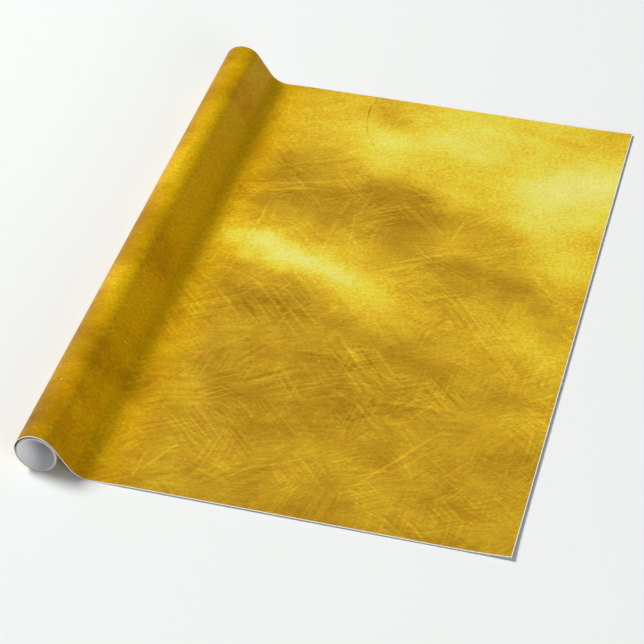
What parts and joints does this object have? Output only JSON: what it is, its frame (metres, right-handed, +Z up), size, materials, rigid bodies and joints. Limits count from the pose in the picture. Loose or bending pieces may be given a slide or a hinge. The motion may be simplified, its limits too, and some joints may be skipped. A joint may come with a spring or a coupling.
{
  "type": "wrapping paper roll",
  "caption": "Roll of wrapping paper on a paperboard tube, partly unrolled so that a flat printed sheet lies beside it.",
  "frame": {"origin": "middle of the object's footprint, on the table that the sheet lies on", "axes": "+Y along the roll's axis, +X the way the paper is pulled off the roll, +Z up"},
  "size_m": [0.5254, 0.762, 0.0473],
  "materials": {
    "printed_paper": "satin",
    "liner_paper": "matte",
    "core_board": "matte"
  },
  "bodies": {
    "outer_paper": {"loose_turn": "printed_paper", "paper_ramp": "printed_paper", "sheet_apron": "printed_paper"},
    "roll": {"wound_turns": "printed_paper"},
    "core": {"core_liner_ply": "liner_paper", "core_board_ply": "core_board", "core_facing_ply": "core_board"},
    "sheet": {"free_sheet": "printed_paper"}
  },
  "joints": [
    {"name": "roll_spin", "type": "hinge", "parent": "outer_paper", "child": "roll", "pos_m": [-0.23858, 0, 0.02295], "axis": [0, 1, 0], "range_deg": [-430, 2880]},
    {"name": "sheet_feed", "type": "slide", "parent": "outer_paper", "child": "sheet", "axis": [1, 0, 0], "range_m": [-0.178, 1.19], "deforming": ["sheet_apron"]},
    {"name": "core_slide", "type": "slide", "parent": "roll", "child": "core", "axis": [0, -1, 0], "range_m": [0, 0.762]}
  ],
  "couplings": [
    {"joint": "sheet_feed", "follows": "roll_spin", "m_per_rad": 0.0235}
  ]
}
